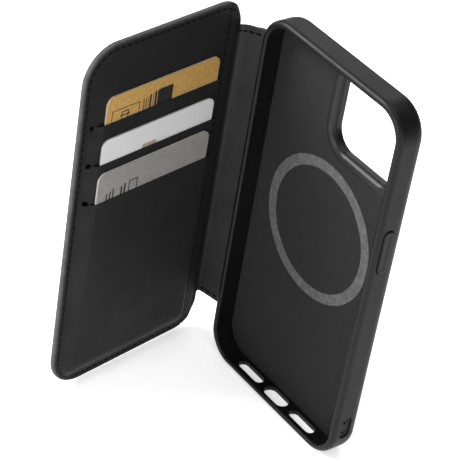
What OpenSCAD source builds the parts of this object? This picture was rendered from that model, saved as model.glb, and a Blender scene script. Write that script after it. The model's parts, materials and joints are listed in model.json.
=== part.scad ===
// Folio wallet case for a 6.1 inch phone, drawn open like a standing book.
// Frame: X to the right, Y away from the phone's screen, Z up the phone's long side.
// Origin: centre of the lined face that the phone's back rests on.

/* [Phone tray] */
// Width of the moulded tray
tray_w = 76; // [75:0.5:80]
// Height of the moulded tray
tray_h = 151.6; // [150:0.2:156]
// Depth from the lined face to the front of the lip
tray_front = 8.4; // [8:0.1:9.5]
// Thickness of the tray's walls
wall_t = 1.9; // [1.6:0.1:2.2]
// Thickness of the tray's back, behind the lining
back_t = 1.1; // [1:0.1:1.4]
// Outside corner radius of the tray
corner_r = 12.5; // [11:0.5:14]
// How far the lip reaches in over the phone's edge
lip_reach = 0.9; // [0.6:0.1:1.2]
// Thickness of the lip
lip_t = 0.8; // [0.6:0.1:1.2]

/* [Sheet materials] */
// Thickness of the outer leather
leather_t = 0.8; // [0.7:0.05:0.9]
// Thickness of the suede-touch lining in the tray
lining_t = 0.5; // [0.4:0.05:0.6]
// Thickness of the board that stiffens the cover
board_t = 1.0; // [0.8:0.1:1.2]
// Thickness of the cover's inner leather
inner_t = 0.5; // [0.4:0.05:0.6]

/* [Camera opening] */
// Width of the camera opening
camera_w = 33.8; // [32:0.2:34]
// Height of the camera opening
camera_h = 32.6; // [31:0.2:33]
// How far the camera frame stands proud of the rear leather
camera_proud = 1.6; // [1:0.1:2]

/* [Magnet ring] */
// Outer radius of the magnet array
magnet_r = 27; // [26:0.5:27.5]
// Number of magnets in the array
magnet_count = 18; // [12:1:24]
// Height of the ring's centre above the middle of the tray
ring_z = 3.5; // [0:0.5:5]

/* [Cover] */
// Reach of the cover from its fold to its free edge
cover_reach = 75.2; // [75:0.2:77]
// Height of the cover
cover_h = 147.2; // [146:0.2:150]
// Height of the spine between the two folds
spine_h = 124; // [118:1:124]
// Rest angle of the spine, turned from lying flat open
spine_open = 22; // [10:1:40]
// Rest angle of the cover, turned from lying in line with the spine
cover_open = 77; // [50:1:85]

/* [Cards] */
// Width of a card
card_w = 54; // [53.9:0.1:54.1]
// Length of a card
card_l = 85.6; // [85.5:0.1:85.7]
// Thickness of a card
card_t = 0.76; // [0.7:0.02:0.8]
// Distance from one card slot to the next
slot_pitch = 15.5; // [15:0.1:16.8]

/* [Buttons] */
// How far a button stands proud of the wall
button_proud = 0.5; // [0.3:0.1:0.5]
// Width of a button across the wall
button_w = 4.2; // [3.8:0.1:4.4]

/* [Hidden] */
$fn = 64;
eps = 0.01;
hull_fn = 32;

// Planes along Y, from the phone's seat back to the rear face
back_y = lining_t + back_t;
rear_y = back_y + leather_t;
rear_inset = 1.2;
round_y = -1;
lining_fit = 0.05;
bottom_z = -tray_h / 2;

// Camera opening and its frame
camera_x = 14.6;
camera_z = 55.5;
camera_r = 8;
frame_rim = 5.2;
frame_gap = 0.1;
frame_collar = 1.6;

// Magnet ring
magnet_rim = 4;
magnet_t = 0.6;
magnet_gap = 0.2;
shunt_t = 0.3;
band_r = 28.2;
band_rim = 4.2;
band_t = 0.2;
bar_w = 5.6;
bar_h = 18;
bar_drop = 14;
bar_z = ring_z - magnet_r - bar_drop;
magnet_fit = 0.05;

// Buttons, by the height of their centres
button_y = -3.9;
button_gap = 0.15;
button_inner = 0.2;
power_z = 20.6;
power_l = 17.6;
volume_l = 11;
volume_up_z = 28.4;
volume_down_z = 15.4;
action_z = 41.6;
action_l = 8;

// Openings in the bottom wall
port_w = 12;
port_h = 5.6;
port_y = -3.5;
speaker_x = 16;
speaker_w = 13.5;
speaker_h = 4.2;

// Lanyard seat in the right wall
lanyard_z = -59.4;
lanyard_y = -2.4;
lanyard_l = 10;
lanyard_w = 4.6;
lanyard_depth = 0.5;
lanyard_hole_r = 0.9;
lanyard_pitch = 4.6;

// Layers of the cover, counted from the middle of the outer leather towards its inside
half_leather = leather_t / 2;
board_y = half_leather + board_t;
inner_y = board_y + inner_t;
card_gap = 0.07;
sheet_t = 0.3;
front_sheet_t = 0.5;
layer_y = card_gap + card_t + card_gap + sheet_t;
pocket_face = inner_y + 3 * layer_y - sheet_t + front_sheet_t;

// Folds: the outer leather bends about vertical axes at its own middle
fold_gap = 0.6;
flap_overlap = tray_w / 4;
fold_x = -(tray_w / 2 + 2.2);
fold_y = rear_y - half_leather;
closed_gap = 0.3;
spine_l = fold_y + tray_front + closed_gap + pocket_face;
spine_angle = 180 + spine_open;
cover_angle = spine_angle + cover_open;
cover_fold_x = fold_x + spine_l * cos(spine_angle);
cover_fold_y = fold_y + spine_l * sin(spine_angle);

// Cover outline
cover_edge = 2.4;
cover_top = bottom_z + cover_h;
spine_bottom = -spine_h / 2;
near_r = 12;
free_r = 14;
turned_edge = 1;
board_fit = 0.05;
lining_inset = 0.3;
seam_inset = 2.2;
thread_w = 0.5;
thread_t = 0.15;
spine_seam_inset = 2;

// Spine layers
stiffener_t = 0.4;
stiffener_inset = 3.8;
stiffener_ends = 4;
spine_lining_inset = 1.2;
spine_lining_ends = 0.3;
spine_lining_t = 0.4;
spine_face = half_leather + stiffener_t + spine_lining_t;
spine_thread_ends = spine_lining_inset + 1;

// Pockets and cards
pocket_near = 8.4;
pocket_free = 69.6;
pocket_seam = 1.4;
pocket_bottom = bottom_z + 4.9;
foot_gap = 0.2;
first_slot_z = 40.2;
card_near = [10.3, 11.5, 12.7];
card_r = 3.18;
card_shows = [10.5, 9.6, 12.1];

// A rectangle with round corners, centred on x, z
module round_rect(w, h, r) {
    square([w - 2 * r, h], center = true);
    square([w, h - 2 * r], center = true);
    for (x = [-1, 1], z = [-1, 1]) {
        translate([x * (w / 2 - r), z * (h / 2 - r)]) circle(r);
    }
}

// A flat shape drawn in X and Z, given thickness from y0 to y1
module plate(y0, y1) {
    translate([0, y1, 0]) rotate([90, 0, 0]) linear_extrude(y1 - y0) children();
}

// A rectangle from low to high corner, as x, z pairs
module panel(low, high) {
    translate(low) square([high[0] - low[0], high[1] - low[1]]);
}

// A slot with round ends, l long along Z and w wide along Y, from x0 to x1
module wall_slot(x0, x1, y, z, l, w) {
    straight = l - w;
    for (end = [-1, 1]) {
        translate([x0, y, z + end * straight / 2]) rotate([0, 90, 0]) cylinder(h = x1 - x0, r = w / 2);
    }
    translate([x0, y - w / 2, z - straight / 2]) cube([x1 - x0, w, straight]);
}

// A slot through the bottom wall, l long along X and w wide along Y
module floor_slot(x, y, l, w) {
    straight = l - w;
    for (end = [-1, 1]) {
        translate([x + end * straight / 2, y, bottom_z - 1]) cylinder(h = wall_t + 2, r = w / 2);
    }
    translate([x - straight / 2, y - w / 2, bottom_z - 1]) cube([straight, w, wall_t + 2]);
}

// A ring standing on a plane along Y, about the magnet centre
module flat_ring(y0, y1, outer, rim) {
    translate([0, y1, ring_z]) rotate([90, 0, 0]) difference() {
        cylinder(h = y1 - y0, r = outer);
        translate([0, 0, -1]) cylinder(h = y1 - y0 + 2, r = outer - rim);
    }
}

// Moves a shape drawn from the spine's fold onto the spine
module on_spine() {
    translate([fold_x, fold_y, 0]) rotate([0, 0, spine_angle]) children();
}

// Moves a shape drawn from the cover's fold onto the cover
module on_cover() {
    translate([cover_fold_x, cover_fold_y, 0]) rotate([0, 0, cover_angle]) children();
}

module tray_outline(inset) {
    round_rect(tray_w - 2 * inset, tray_h - 2 * inset, corner_r - inset);
}

module camera_outline(grow) {
    translate([camera_x, camera_z]) round_rect(camera_w + 2 * grow, camera_h + 2 * grow, camera_r + grow);
}

// The camera frame's outer edge, kept inside the tray's walls
module frame_outline(grow) {
    intersection() {
        camera_outline(frame_rim + grow);
        tray_outline(wall_t + frame_gap - grow);
    }
}

// The cover's outline, with its own radii at the fold and at the free edge
module cover_outline(inset) {
    x0 = cover_edge + inset;
    x1 = cover_reach - inset;
    z0 = bottom_z + inset;
    z1 = cover_top - inset;
    rn = near_r - inset;
    rf = free_r - inset;
    panel([x0 + rn, z0], [x1 - rf, z1]);
    panel([x0, z0 + rn], [x0 + rn, z1 - rn]);
    panel([x1 - rf, z0 + rf], [x1, z1 - rf]);
    for (z = [z0 + rn, z1 - rn]) {
        translate([x0 + rn, z]) circle(rn);
    }
    for (z = [z0 + rf, z1 - rf]) {
        translate([x1 - rf, z]) circle(rf);
    }
}

function slot_z(level) = first_slot_z - level * slot_pitch;
function card_top(level) = slot_z(level) + card_shows[level];
function card_y(level) = inner_y + card_gap + level * layer_y;
function sheet_y(level) = inner_y + (level + 1) * layer_y - sheet_t;

module shell_tray() color([0.20, 0.20, 0.21]) {
    difference() {
        union() {
            plate(-tray_front, round_y) tray_outline(0);
            hull() {
                plate(round_y - eps, round_y) tray_outline(0, $fn = hull_fn);
                plate(back_y - eps, back_y) tray_outline(rear_inset, $fn = hull_fn);
            }
        }
        plate(lip_t - tray_front, lining_t) tray_outline(wall_t);
        plate(-tray_front - 1, lip_t - tray_front + eps) tray_outline(wall_t + lip_reach);
        plate(-1, back_y + 1) frame_outline(frame_gap);
        flat_ring(lining_t - eps, lining_t + magnet_t + shunt_t, magnet_r, magnet_rim);
        translate([-bar_w / 2, lining_t - eps, bar_z - bar_h / 2]) cube([bar_w, magnet_t + eps, bar_h]);
        floor_slot(0, port_y, port_w, port_h);
        for (side = [-1, 1]) {
            floor_slot(side * speaker_x, port_y, speaker_w, speaker_h);
        }
        button_window(1, power_z, power_l);
        button_window(-1, volume_up_z, volume_l);
        button_window(-1, volume_down_z, volume_l);
        button_window(-1, action_z, action_l);
        wall_slot(tray_w / 2 - lanyard_depth, tray_w / 2 + 1, lanyard_y, lanyard_z, lanyard_l, lanyard_w);
        for (end = [-1, 1]) {
            translate([tray_w / 2 - wall_t - 1, lanyard_y, lanyard_z + end * lanyard_pitch / 2])
                rotate([0, 90, 0]) cylinder(h = wall_t + 2, r = lanyard_hole_r);
        }
    }
}

// The opening in a side wall for one button; side is -1 on the left and 1 on the right
module button_window(side, z, l) {
    inner = tray_w / 2 - wall_t - 1;
    outer = tray_w / 2 + 1;
    wall_slot(side > 0 ? inner : -outer, side > 0 ? outer : -inner, button_y, z,
              l + 2 * button_gap, button_w + 2 * button_gap);
}

// One button pad, proud of the wall outside and just short of it inside
module button_pad(side, z, l) color([0.17, 0.17, 0.18]) {
    inner = tray_w / 2 - wall_t + button_inner;
    outer = tray_w / 2 + button_proud;
    wall_slot(side > 0 ? inner : -outer, side > 0 ? outer : -inner, button_y, z, l, button_w);
}

module camera_frame() color([0.12, 0.12, 0.13]) {
    difference() {
        union() {
            plate(0, rear_y) frame_outline(0);
            plate(rear_y - eps, rear_y + camera_proud) camera_outline(frame_collar);
        }
        plate(-1, rear_y + camera_proud + 1) camera_outline(0);
    }
}

module seat_lining() color([0.16, 0.16, 0.17]) {
    difference() {
        plate(0, lining_t) tray_outline(wall_t + lining_fit);
        plate(-1, lining_t + 1) frame_outline(frame_gap);
        flat_ring(-1, band_t, band_r, band_rim);
    }
}

module ring_band() color([0.42, 0.42, 0.43]) {
    flat_ring(0, band_t, band_r, band_rim);
}

module ring_magnets() color([0.72, 0.73, 0.75]) {
    step = 360 / magnet_count;
    gap_angle = magnet_gap / (magnet_r - magnet_rim) * 180 / PI;
    translate([0, lining_t + magnet_t, ring_z]) rotate([90, 0, 0])
        for (i = [0 : magnet_count - 1]) {
            rotate([0, 0, i * step]) rotate_extrude(angle = step - gap_angle)
                translate([magnet_r - magnet_rim + magnet_fit, 0])
                    square([magnet_rim - 2 * magnet_fit, magnet_t]);
        }
}

module ring_shunt() color([0.55, 0.56, 0.58]) {
    flat_ring(lining_t + magnet_t, lining_t + magnet_t + shunt_t,
              magnet_r - magnet_fit, magnet_rim - 2 * magnet_fit);
}

module alignment_magnet() color([0.72, 0.73, 0.75]) {
    translate([magnet_fit - bar_w / 2, lining_t, bar_z - bar_h / 2 + magnet_fit])
        cube([bar_w - 2 * magnet_fit, magnet_t - magnet_fit, bar_h - 2 * magnet_fit]);
}

module rear_leather() color([0.15, 0.15, 0.16]) {
    plate(back_y, rear_y) difference() {
        union() {
            tray_outline(rear_inset);
            panel([fold_x + fold_gap, spine_bottom], [-flap_overlap, spine_bottom + spine_h]);
        }
        frame_outline(frame_gap);
    }
}

module power_button() button_pad(1, power_z, power_l);

module volume_up_button() button_pad(-1, volume_up_z, volume_l);

module volume_down_button() button_pad(-1, volume_down_z, volume_l);

module action_button() button_pad(-1, action_z, action_l);

// The spine's outline, inset from both folds and from top and bottom
module spine_outline(inset, ends) {
    panel([inset, spine_bottom + ends], [spine_l - inset, spine_bottom + spine_h - ends]);
}

module spine_leather() color([0.15, 0.15, 0.16]) {
    on_spine() plate(-half_leather, half_leather) spine_outline(fold_gap, 0);
}

module spine_stiffener() color([0.55, 0.50, 0.42]) {
    on_spine() plate(half_leather, half_leather + stiffener_t)
        spine_outline(stiffener_inset, stiffener_ends);
}

module spine_lining() color([0.17, 0.17, 0.18]) {
    on_spine() difference() {
        plate(half_leather, spine_face) spine_outline(spine_lining_inset, spine_lining_ends);
        plate(half_leather - 1, half_leather + stiffener_t)
            spine_outline(stiffener_inset, stiffener_ends);
    }
}

module spine_thread() color([0.10, 0.10, 0.10]) {
    on_spine() plate(spine_face, spine_face + thread_t)
        for (z = [spine_bottom + spine_seam_inset, spine_bottom + spine_h - spine_seam_inset]) {
            panel([spine_thread_ends, z - thread_w / 2],
                  [spine_l - spine_thread_ends, z + thread_w / 2]);
        }
}

module cover_leather() color([0.15, 0.15, 0.16]) {
    on_cover() {
        plate(-half_leather, half_leather) {
            cover_outline(0);
            panel([fold_gap, spine_bottom], [near_r, spine_bottom + spine_h]);
        }
        difference() {
            plate(half_leather - eps, board_y) cover_outline(0);
            plate(half_leather - 1, board_y + 1) cover_outline(turned_edge);
        }
    }
}

module cover_board() color([0.55, 0.50, 0.42]) {
    on_cover() plate(half_leather, board_y) cover_outline(turned_edge + board_fit);
}

// The band round the cover that its seam runs in
module seam_band(y0, y1) {
    plate(y0, y1) difference() {
        cover_outline(seam_inset - thread_w / 2);
        cover_outline(seam_inset + thread_w / 2);
    }
}

module cover_lining() color([0.17, 0.17, 0.18]) {
    on_cover() difference() {
        plate(board_y, inner_y) cover_outline(lining_inset);
        seam_band(inner_y - thread_t, inner_y + 1);
    }
}

// One pocket: a sheet over its card, seamed down its two sides and across below the card
module pocket(level) color([0.17, 0.17, 0.18]) {
    top = slot_z(level);
    floor_y = inner_y + level * layer_y;
    face_t = level == 2 ? front_sheet_t : sheet_t;
    foot = card_top(level) - card_l - foot_gap;
    on_cover() difference() {
        plate(floor_y, sheet_y(level) + face_t) panel([pocket_near, pocket_bottom], [pocket_free, top]);
        plate(floor_y - 1, sheet_y(level))
            panel([pocket_near + pocket_seam, foot], [pocket_free - pocket_seam, top + 1]);
        if (foot - pocket_seam > pocket_bottom + 2 * pocket_seam) {
            plate(floor_y - 1, sheet_y(level))
                panel([pocket_near + pocket_seam, pocket_bottom + pocket_seam],
                      [pocket_free - pocket_seam, foot - pocket_seam]);
        }
    }
}

module pocket_upper() pocket(0);

module pocket_middle() pocket(1);

module pocket_lower() pocket(2);

module cover_thread() color([0.10, 0.10, 0.10]) {
    on_cover() seam_band(inner_y - thread_t, inner_y);
}

// One card, standing on its short side in its pocket
module card(level) {
    on_cover() plate(card_y(level), card_y(level) + card_t)
        translate([card_near[level] + card_w / 2, card_top(level) - card_l / 2])
            round_rect(card_w, card_l, card_r);
}

module card_upper() color([0.72, 0.56, 0.30]) card(0);

module card_middle() color([0.80, 0.80, 0.82]) card(1);

module card_lower() color([0.52, 0.52, 0.53]) card(2);

shell_tray();
camera_frame();
seat_lining();
ring_band();
ring_magnets();
ring_shunt();
alignment_magnet();
rear_leather();
power_button();
volume_up_button();
volume_down_button();
action_button();
spine_leather();
spine_stiffener();
spine_lining();
spine_thread();
cover_leather();
cover_board();
cover_lining();
pocket_upper();
pocket_middle();
pocket_lower();
cover_thread();
card_upper();
card_middle();
card_lower();
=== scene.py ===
"""Looks of a folio wallet case that stands open: its tray, folding cover, pockets and cards."""

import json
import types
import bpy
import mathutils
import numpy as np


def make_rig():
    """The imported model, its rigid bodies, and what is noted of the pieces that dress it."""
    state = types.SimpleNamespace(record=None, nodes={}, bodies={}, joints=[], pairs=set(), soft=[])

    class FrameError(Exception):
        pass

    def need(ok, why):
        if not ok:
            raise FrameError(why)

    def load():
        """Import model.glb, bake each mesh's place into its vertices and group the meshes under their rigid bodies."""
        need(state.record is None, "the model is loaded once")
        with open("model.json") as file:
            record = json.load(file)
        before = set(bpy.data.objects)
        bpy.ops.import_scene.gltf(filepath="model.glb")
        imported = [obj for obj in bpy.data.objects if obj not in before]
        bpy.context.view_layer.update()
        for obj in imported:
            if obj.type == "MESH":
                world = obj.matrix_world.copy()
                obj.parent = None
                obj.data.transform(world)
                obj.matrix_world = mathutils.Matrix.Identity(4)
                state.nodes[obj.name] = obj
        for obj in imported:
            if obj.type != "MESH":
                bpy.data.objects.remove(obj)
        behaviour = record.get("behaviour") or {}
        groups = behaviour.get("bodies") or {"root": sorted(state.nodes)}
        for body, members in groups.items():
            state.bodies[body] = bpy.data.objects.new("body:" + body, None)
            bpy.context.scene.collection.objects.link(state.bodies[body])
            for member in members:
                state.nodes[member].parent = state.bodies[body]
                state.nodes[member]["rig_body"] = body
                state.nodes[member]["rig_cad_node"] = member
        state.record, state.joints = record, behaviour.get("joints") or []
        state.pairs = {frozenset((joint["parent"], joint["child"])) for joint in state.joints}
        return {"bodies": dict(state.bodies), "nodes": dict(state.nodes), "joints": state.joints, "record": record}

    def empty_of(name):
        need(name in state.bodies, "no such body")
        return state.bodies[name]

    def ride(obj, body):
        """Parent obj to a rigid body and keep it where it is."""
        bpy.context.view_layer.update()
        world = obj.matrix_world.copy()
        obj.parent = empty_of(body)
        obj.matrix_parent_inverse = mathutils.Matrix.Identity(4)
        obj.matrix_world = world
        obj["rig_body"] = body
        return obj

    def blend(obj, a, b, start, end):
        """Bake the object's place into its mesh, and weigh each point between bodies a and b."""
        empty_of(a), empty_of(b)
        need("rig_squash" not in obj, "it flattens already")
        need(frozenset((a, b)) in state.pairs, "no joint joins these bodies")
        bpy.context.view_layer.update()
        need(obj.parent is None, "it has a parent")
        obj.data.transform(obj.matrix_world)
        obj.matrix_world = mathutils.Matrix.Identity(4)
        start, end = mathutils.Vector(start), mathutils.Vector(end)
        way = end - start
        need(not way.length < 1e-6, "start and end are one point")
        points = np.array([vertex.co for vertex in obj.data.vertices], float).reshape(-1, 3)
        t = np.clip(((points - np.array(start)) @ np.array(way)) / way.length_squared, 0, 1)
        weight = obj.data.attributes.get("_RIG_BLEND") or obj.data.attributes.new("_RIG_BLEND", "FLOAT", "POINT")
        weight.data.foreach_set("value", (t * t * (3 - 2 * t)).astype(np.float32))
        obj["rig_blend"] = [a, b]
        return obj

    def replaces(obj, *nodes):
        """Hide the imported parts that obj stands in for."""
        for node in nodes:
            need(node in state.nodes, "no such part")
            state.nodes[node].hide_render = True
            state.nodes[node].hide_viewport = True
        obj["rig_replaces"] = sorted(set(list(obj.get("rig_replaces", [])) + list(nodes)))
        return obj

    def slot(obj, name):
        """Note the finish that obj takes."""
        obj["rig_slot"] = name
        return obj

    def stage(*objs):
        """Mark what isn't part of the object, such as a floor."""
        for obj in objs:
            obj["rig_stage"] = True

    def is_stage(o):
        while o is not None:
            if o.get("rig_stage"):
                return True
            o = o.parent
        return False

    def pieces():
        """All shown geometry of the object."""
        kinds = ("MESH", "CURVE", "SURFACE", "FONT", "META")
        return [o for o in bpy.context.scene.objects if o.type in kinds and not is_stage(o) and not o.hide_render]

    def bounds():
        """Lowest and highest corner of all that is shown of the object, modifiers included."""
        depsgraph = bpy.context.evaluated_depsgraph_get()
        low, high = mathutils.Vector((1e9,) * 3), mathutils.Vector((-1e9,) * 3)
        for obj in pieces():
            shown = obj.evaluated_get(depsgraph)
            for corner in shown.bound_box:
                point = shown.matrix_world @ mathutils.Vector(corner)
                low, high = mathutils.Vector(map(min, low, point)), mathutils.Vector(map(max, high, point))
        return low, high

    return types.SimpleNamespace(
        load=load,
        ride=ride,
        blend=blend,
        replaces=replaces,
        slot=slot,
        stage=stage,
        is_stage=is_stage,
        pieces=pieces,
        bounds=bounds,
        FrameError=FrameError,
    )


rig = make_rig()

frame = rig.load()
CAD_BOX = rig.bounds()

import json
import logging
import math
from dataclasses import dataclass, field
from enum import Enum
from typing import Callable, Iterable, Optional

import bmesh
import bpy
from bmesh.types import BMEdge, BMesh, BMFace, BMVert
from mathutils import Matrix, Vector

LOG = logging.getLogger("folio")
MM = 0.001
SIZE_FILE = "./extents.json"
Ring = tuple[float, float]
Box = tuple[float, float, float, float]
Colour = tuple[float, float, float]
Socket = bpy.types.NodeSocket
Material = bpy.types.Material
Object = bpy.types.Object
Mark = tuple[Material, Box, float]
NOISE = (0.3, 0.7)
MERGE = 1e-4


class Facing(Enum):
    """Side that an outline faces, as the part's directions of its own x, y and depth."""

    FRONT = ((1, 0, 0), (0, 0, 1), (0, -1, 0))
    RIGHT = ((0, 1, 0), (0, 0, 1), (1, 0, 0))
    LEFT = ((0, -1, 0), (0, 0, 1), (-1, 0, 0))
    BOTTOM = ((1, 0, 0), (0, -1, 0), (0, 0, -1))

    def matrix(self) -> Matrix:
        """Returns the turn from the outline's own directions to the part's."""
        return Matrix(self.value).transposed().to_4x4()


# --------------------------------------------------------------------------- finishes


@dataclass
class Nodes:
    """A material's node tree, with short ways to add and join nodes."""

    material: Material

    @classmethod
    def fresh(cls, name: str) -> "Nodes":
        """Makes an empty node material.

        Args:
            name: name of the new material.

        Returns:
            The node tree holder.
        """
        material = bpy.data.materials.new(name)
        material.use_nodes = True
        material.node_tree.nodes.clear()
        return cls(material)

    def add(self, kind: str, **values) -> bpy.types.Node:
        """Adds a node.

        Args:
            kind: Blender's type name of the node.
            values: settings of the node, or of a socket where its name matches one.

        Returns:
            The new node.
        """
        node = self.material.node_tree.nodes.new(kind)
        for key, value in values.items():
            socket = node.inputs.get(key.replace("_", " ").title())
            if hasattr(node, key):
                setattr(node, key, value)
            elif socket is not None:
                socket.default_value = value
        return node

    def join(self, out: Socket, into: Socket) -> None:
        """Links two sockets."""
        self.material.node_tree.links.new(out, into)

    def place(self, scale: Vector) -> Socket:
        """Returns the object's coordinates, multiplied by a scale for each axis."""
        spot = self.add("ShaderNodeTexCoord")
        turn = self.add("ShaderNodeMapping")
        turn.inputs["Scale"].default_value = scale
        self.join(spot.outputs["Object"], turn.inputs["Vector"])
        return turn.outputs["Vector"]

    def noise(self, place: Socket, scale: float, detail: float = 3) -> Socket:
        """Returns a soft noise, most of it within the span NOISE."""
        node = self.add("ShaderNodeTexNoise", scale=scale, detail=detail, roughness=0.55)
        self.join(place, node.inputs["Vector"])
        return node.outputs["Fac"]

    def ramp(self, value: Socket, span: Ring, colour: Colour, shades: Ring) -> Socket:
        """Turns a value into a shade of a colour.

        Args:
            value: the value to look up.
            span: values that give the first shade and the last.
            colour: the colour that both are shades of.
            shades: what the colour is multiplied by in each.

        Returns:
            The colour's socket.
        """
        node = self.add("ShaderNodeValToRGB")
        for element, position, shade in zip(node.color_ramp.elements, span, shades):
            element.position = position
            element.color = (*(c * shade for c in colour), 1)
        self.join(value, node.inputs["Fac"])
        return node.outputs["Color"]

    def blend(self, amount: Socket, first: Socket, last: Colour) -> Socket:
        """Fades a colour towards a plain one where an amount is high."""
        node = self.add("ShaderNodeMix", data_type="RGBA")
        self.join(amount, node.inputs["Factor"])
        start, end = (socket for socket in node.inputs if socket.type == "RGBA")
        self.join(first, start)
        end.default_value = (*last, 1)
        return next(socket for socket in node.outputs if socket.type == "RGBA")

    def bump(self, heights: Iterable[tuple[Socket, float, float]]) -> Socket:
        """Stacks bumps on each other.

        Args:
            heights: height socket, strength and depth in metres of each bump.

        Returns:
            The normal's socket.
        """
        normal = None
        for height, strength, depth in heights:
            node = self.add("ShaderNodeBump")
            node.inputs["Strength"].default_value = strength
            node.inputs["Distance"].default_value = depth
            self.join(height, node.inputs["Height"])
            if normal is not None:
                self.join(normal, node.inputs["Normal"])
            normal = node.outputs["Normal"]
        return normal

    def shader(self, colour: Socket, rough: Socket, normal: Socket, **fixed: float) -> Material:
        """Ends the material in one Principled shader.

        Args:
            colour: the base colour's socket.
            rough: the roughness's socket.
            normal: the normal's socket.
            fixed: other sockets' constant values, with _ for each blank in a name.

        Returns:
            The finished material.
        """
        node = self.add("ShaderNodeBsdfPrincipled")
        self.join(colour, node.inputs["Base Color"])
        self.join(rough, node.inputs["Roughness"])
        self.join(normal, node.inputs["Normal"])
        for key, value in fixed.items():
            node.inputs[key.replace("_", " ")].default_value = value
        out = self.add("ShaderNodeOutputMaterial")
        self.join(node.outputs["BSDF"], out.inputs["Surface"])
        return self.material

    def span(self, value: Socket, first: float, last: float, span: Ring = NOISE) -> Socket:
        """Rescales a value from a span to the one from first to last."""
        node = self.add("ShaderNodeMapRange")
        for name, number in zip(("From Min", "From Max", "To Min", "To Max"), (*span, first, last)):
            node.inputs[name].default_value = number
        self.join(value, node.inputs["Value"])
        return node.outputs["Result"]

    def both(self, operation: str, first: Socket, second: Socket) -> Socket:
        """Returns the sum or the product of two values."""
        node = self.add("ShaderNodeMath", operation=operation)
        for value, socket in zip((first, second), node.inputs):
            self.join(value, socket)
        return node.outputs["Value"]


@dataclass(frozen=True)
class Leather:
    """Fine-grained matt leather, a little paler along its turned and handled edges: scuffed there, with a painted
    highlight on the rims as well.
    """

    name: str
    colour: Colour = (0.0225, 0.0225, 0.0230)
    # Colour that the rims fade to: scuffed leather with a painted highlight.
    worn_and_highlit: Colour = (0.075, 0.075, 0.074)
    grain: float = 1500
    depth: float = 0.00005
    rough: float = 0.56
    shine: float = 0.2
    crease_depth: float = 0.00012
    patch: float = 45
    soft: float = 0.02

    def make(self) -> Material:
        """Returns the finished material."""
        tree = Nodes.fresh(self.name)
        place = tree.place(Vector((1, 1, 1)))
        cells = tree.add("ShaderNodeTexVoronoi", feature="SMOOTH_F1", scale=self.grain)
        tree.join(place, cells.inputs["Vector"])
        creases = tree.noise(place, self.grain / 12, 4)
        patches = tree.noise(place, self.patch, 4)
        base = tree.ramp(patches, (0.32, 0.68), self.colour, (0.82, 1.22))
        # Paler rims from a point attribute: partly scuffing, partly a painted highlight along the rounded edges.
        wear_and_highlight = tree.add("ShaderNodeAttribute", attribute_name="wear_and_highlight")
        rub_and_highlight = tree.both("MULTIPLY", wear_and_highlight.outputs["Fac"], tree.span(creases, 0.55, 1.0))
        colour = tree.blend(rub_and_highlight, base, self.worn_and_highlit)
        rough = tree.span(patches, self.rough + 0.06, self.rough - 0.05)
        grain = (cells.outputs["Distance"], 0.55, self.depth)
        normal = tree.bump([grain, (creases, 0.5, self.crease_depth)])
        fixed = {"Specular_IOR_Level": self.shine, "Sheen_Weight": self.soft, "Sheen_Roughness": 0.5}
        return tree.shader(colour, rough, normal, **fixed)


@dataclass(frozen=True)
class Moulding:
    """Moulded plastic or rubber with a fine eroded skin."""

    name: str
    colour: Colour = (0.0048, 0.0048, 0.0050)
    grain: float = 5200
    depth: float = 0.000010
    rough: float = 0.42
    shine: float = 0.18
    coat: float = 0.0
    flow_depth: float = 0.00006

    def make(self) -> Material:
        """Returns the finished material."""
        tree = Nodes.fresh(self.name)
        place = tree.place(Vector((1, 1, 1)))
        skin = tree.noise(place, self.grain, 2)
        flow = tree.noise(place, 70, 4)
        base = tree.ramp(flow, NOISE, self.colour, (0.90, 1.12))
        rough = tree.span(flow, self.rough - 0.04, self.rough + 0.05)
        normal = tree.bump([(skin, 0.6, self.depth), (flow, 0.25, self.flow_depth)])
        fixed = {"Specular_IOR_Level": self.shine, "Coat_Weight": self.coat, "Coat_Roughness": 0.12}
        return tree.shader(base, rough, normal, **fixed)


@dataclass(frozen=True)
class Suede:
    """Short soft nap with a broken, brushed look and a faint sheen."""

    name: str
    colour: Colour = (0.0105, 0.0105, 0.0107)
    nap: float = 2200
    contrast: float = 0.6
    sheen: float = 0.10
    rough: float = 0.92
    shine: float = 0.2

    def make(self) -> Material:
        """Returns the finished material."""
        tree = Nodes.fresh(self.name)
        place = tree.place(Vector((1, 1, 1)))
        fibres = tree.noise(place, self.nap, 5)
        brushed = tree.noise(tree.place(Vector((1, 1, 0.7))), 420, 5)
        wide = (0.25, 0.75)
        mixed = tree.both("ADD", tree.span(fibres, 0, 0.62, wide), tree.span(brushed, 0, 0.38, wide))
        colour = tree.ramp(mixed, (0.15, 0.85), self.colour, (1 - self.contrast, 1 + self.contrast))
        rough = tree.span(brushed, self.rough - 0.05, self.rough + 0.05)
        normal = tree.bump([(fibres, 0.9, 0.00006), (brushed, 0.4, 0.0001)])
        fixed = {"Specular_IOR_Level": self.shine, "Sheen_Weight": self.sheen, "Sheen_Roughness": 0.4}
        return tree.shader(colour, rough, normal, **fixed)


@dataclass(frozen=True)
class Twist:
    """Twisted sewing thread."""

    name: str
    colour: Colour = (0.0012, 0.0012, 0.0013)
    shine: float = 0.08

    def make(self) -> Material:
        """Returns the finished material."""
        tree = Nodes.fresh(self.name)
        place = tree.place(Vector((1, 1, 1)))
        bands = {"wave_type": "BANDS", "bands_direction": "DIAGONAL"}
        plies = tree.add("ShaderNodeTexWave", scale=900, distortion=1.5, **bands)
        tree.join(place, plies.inputs["Vector"])
        height = plies.outputs["Fac"]
        base = tree.ramp(height, (0.1, 0.9), self.colour, (0.6, 1.8))
        rough = tree.span(height, 0.85, 0.65, (0, 1))
        normal = tree.bump([(height, 0.6, 0.00008)])
        return tree.shader(base, rough, normal, Specular_IOR_Level=self.shine)


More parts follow.
